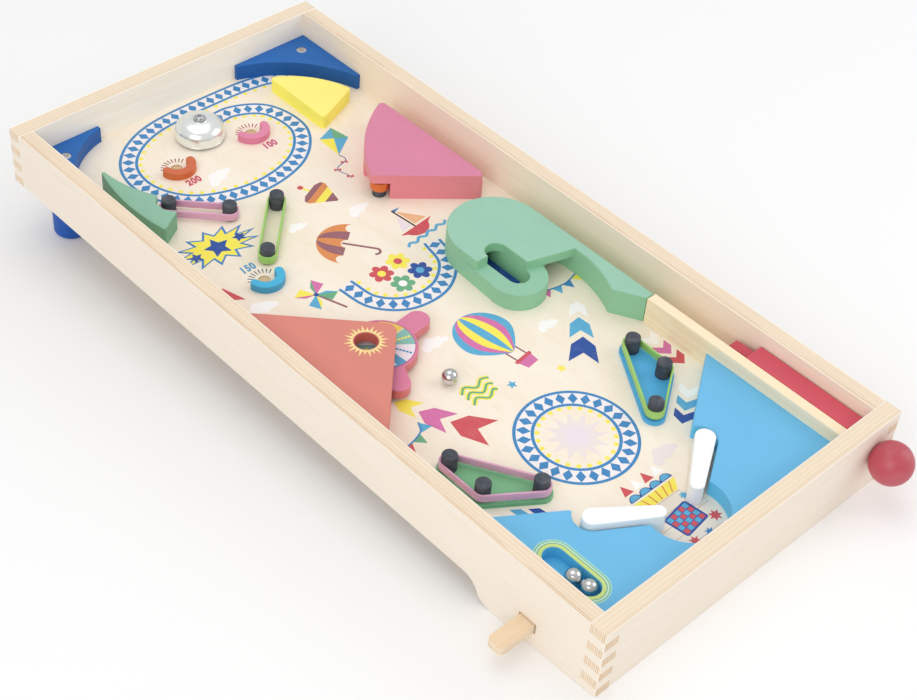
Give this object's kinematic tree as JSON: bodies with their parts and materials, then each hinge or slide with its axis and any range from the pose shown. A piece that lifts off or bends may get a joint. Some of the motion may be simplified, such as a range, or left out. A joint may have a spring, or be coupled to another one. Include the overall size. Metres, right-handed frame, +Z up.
{
  "type": "bagatelle board game",
  "caption": "Table-top bagatelle game: a leaning plywood tray with flippers worked by side bars, a spring plunger, deflectors, a tunnel, a spinner and a bell.",
  "frame": {"origin": "middle of the footprint on the table, under the centre of the bounding box", "axes": "+Z up from the table, +Y from the player to the raised rear end, +X to the player's right"},
  "size_m": [0.335, 0.629, 0.0915],
  "materials": {
    "plywood_wall": "clear matt lacquer on birch plywood",
    "playfield_print": "printed satin board",
    "divider_wood": "clear satin lacquer",
    "deep_blue_paint": "satin paint on wood",
    "yellow_paint": "satin paint on wood",
    "pink_paint": "satin paint on wood",
    "rose_paint": "satin paint on wood",
    "green_paint": "satin paint on wood",
    "sky_paint": "satin paint on wood",
    "orange_paint": "satin paint on wood",
    "salmon_paint": "satin paint on wood",
    "wheel_paint": "satin paint and print on wood",
    "red_paint": "satin paint on wood",
    "bar_wood": "plain sanded plywood",
    "peg_rubber": "ribbed matt",
    "mauve_rubber": "smooth elastic",
    "lime_rubber": "smooth elastic",
    "orange_rubber": "smooth elastic",
    "white_plastic": "moulded gloss",
    "crank_plastic": "moulded matt",
    "plated_bell": "bright zinc plate",
    "steel": "plain steel",
    "spring_steel": "spring wire",
    "ball_steel": "polished steel"
  },
  "bodies": {
    "cabinet": {"front_wall": "plywood_wall", "rear_wall": "plywood_wall", "left_wall": "plywood_wall", "right_wall": "plywood_wall", "playfield_board": "playfield_print", "lane_divider": "divider_wood", "rear_left_block": "deep_blue_paint", "rear_right_block": "deep_blue_paint", "left_foot": "deep_blue_paint", "right_foot": "deep_blue_paint", "yellow_deflector": "yellow_paint", "pink_deflector_top": "pink_paint", "pink_pocket_hook": "pink_paint", "pink_deflector_base": "rose_paint", "tunnel_base": "green_paint", "tunnel_roof": "green_paint", "crescent_guide": "green_paint", "left_bumper_plate": "green_paint", "flipper_apron": "sky_paint", "blue_pocket_hook": "sky_paint", "right_bumper_plate": "sky_paint", "orange_pocket_hook": "orange_paint", "roof_panel": "salmon_paint", "roof_base": "salmon_paint", "plunger_housing": "red_paint", "bar_guides": "bar_wood", "left_bumper_pegs": "peg_rubber", "right_bumper_pegs": "peg_rubber", "field_pegs": "peg_rubber", "ring_bumper_peg": "peg_rubber", "left_bumper_band": "mauve_rubber", "upper_band": "mauve_rubber", "right_bumper_band": "lime_rubber", "middle_band": "lime_rubber", "ring_bumper_ring": "orange_rubber", "bell_post": "crank_plastic", "bell_dome": "plated_bell", "bell_screw": "steel", "wood_screws": "steel", "spinner_axle": "steel", "left_return_spring": "spring_steel", "right_return_spring": "spring_steel", "plunger_spring": "spring_steel"},
    "plunger": {"plunger_knob": "red_paint", "plunger_rod": "steel", "plunger_striker": "red_paint"},
    "left_bar": {"left_push_bar": "bar_wood", "left_drive_pin": "bar_wood"},
    "right_bar": {"right_push_bar": "bar_wood", "right_drive_pin": "bar_wood"},
    "left_bat": {"left_flipper": "white_plastic", "left_flipper_shaft": "steel", "left_crank": "crank_plastic"},
    "right_bat": {"right_flipper": "white_plastic", "right_flipper_shaft": "steel", "right_crank": "crank_plastic"},
    "spinner": {"spinner_wheel": "wheel_paint"},
    "tray_ball_front": {"ball_one": "ball_steel"},
    "tray_ball_rear": {"ball_two": "ball_steel"},
    "field_ball": {"ball_three": "ball_steel"}
  },
  "joints": [
    {"name": "plunger_pull", "type": "slide", "parent": "cabinet", "child": "plunger", "axis": [0, -0.9983, -0.0576], "range_m": [0, 0.035], "stiffness_N_per_m": 90, "springref_m": -0.02, "deforming": ["plunger_spring"]},
    {"name": "left_bar_push", "type": "slide", "parent": "cabinet", "child": "left_bar", "axis": [1, 0, 0], "range_m": [0, 0.0158], "stiffness_N_per_m": 90, "springref_m": -0.02, "deforming": ["left_return_spring"]},
    {"name": "left_flipper_swing", "type": "hinge", "parent": "cabinet", "child": "left_bat", "pos_m": [-0.0673, -0.20887, 0.03649], "axis": [0, -0.0576, 0.9983], "range_deg": [0, 45]},
    {"name": "right_bar_push", "type": "slide", "parent": "cabinet", "child": "right_bar", "axis": [-1, 0, 0], "range_m": [0, 0.0158], "stiffness_N_per_m": 90, "springref_m": -0.02, "deforming": ["right_return_spring"]},
    {"name": "right_flipper_swing", "type": "hinge", "parent": "cabinet", "child": "right_bat", "pos_m": [0.0383, -0.20887, 0.03649], "axis": [0, 0.0576, -0.9983], "range_deg": [0, 45]},
    {"name": "spinner_turn", "type": "hinge", "parent": "cabinet", "child": "spinner", "pos_m": [-0.063, -0.01012, 0.04645], "axis": [0, -0.0576, 0.9983], "continuous": true},
    {"name": "front_tray_ball_lift", "type": "slide", "parent": "cabinet", "child": "tray_ball_front", "axis": [0, -0.0576, 0.9983], "range_m": [0, 0.05]},
    {"name": "rear_tray_ball_lift", "type": "slide", "parent": "cabinet", "child": "tray_ball_rear", "axis": [0, -0.0576, 0.9983], "range_m": [0, 0.05]},
    {"name": "field_ball_lift", "type": "slide", "parent": "cabinet", "child": "field_ball", "axis": [0, -0.0576, 0.9983], "range_m": [0, 0.05]}
  ],
  "couplings": [
    {"joint": "left_flipper_swing", "follows": "left_bar_push", "rad_per_m": 49.637},
    {"joint": "right_flipper_swing", "follows": "right_bar_push", "rad_per_m": 49.637}
  ]
}
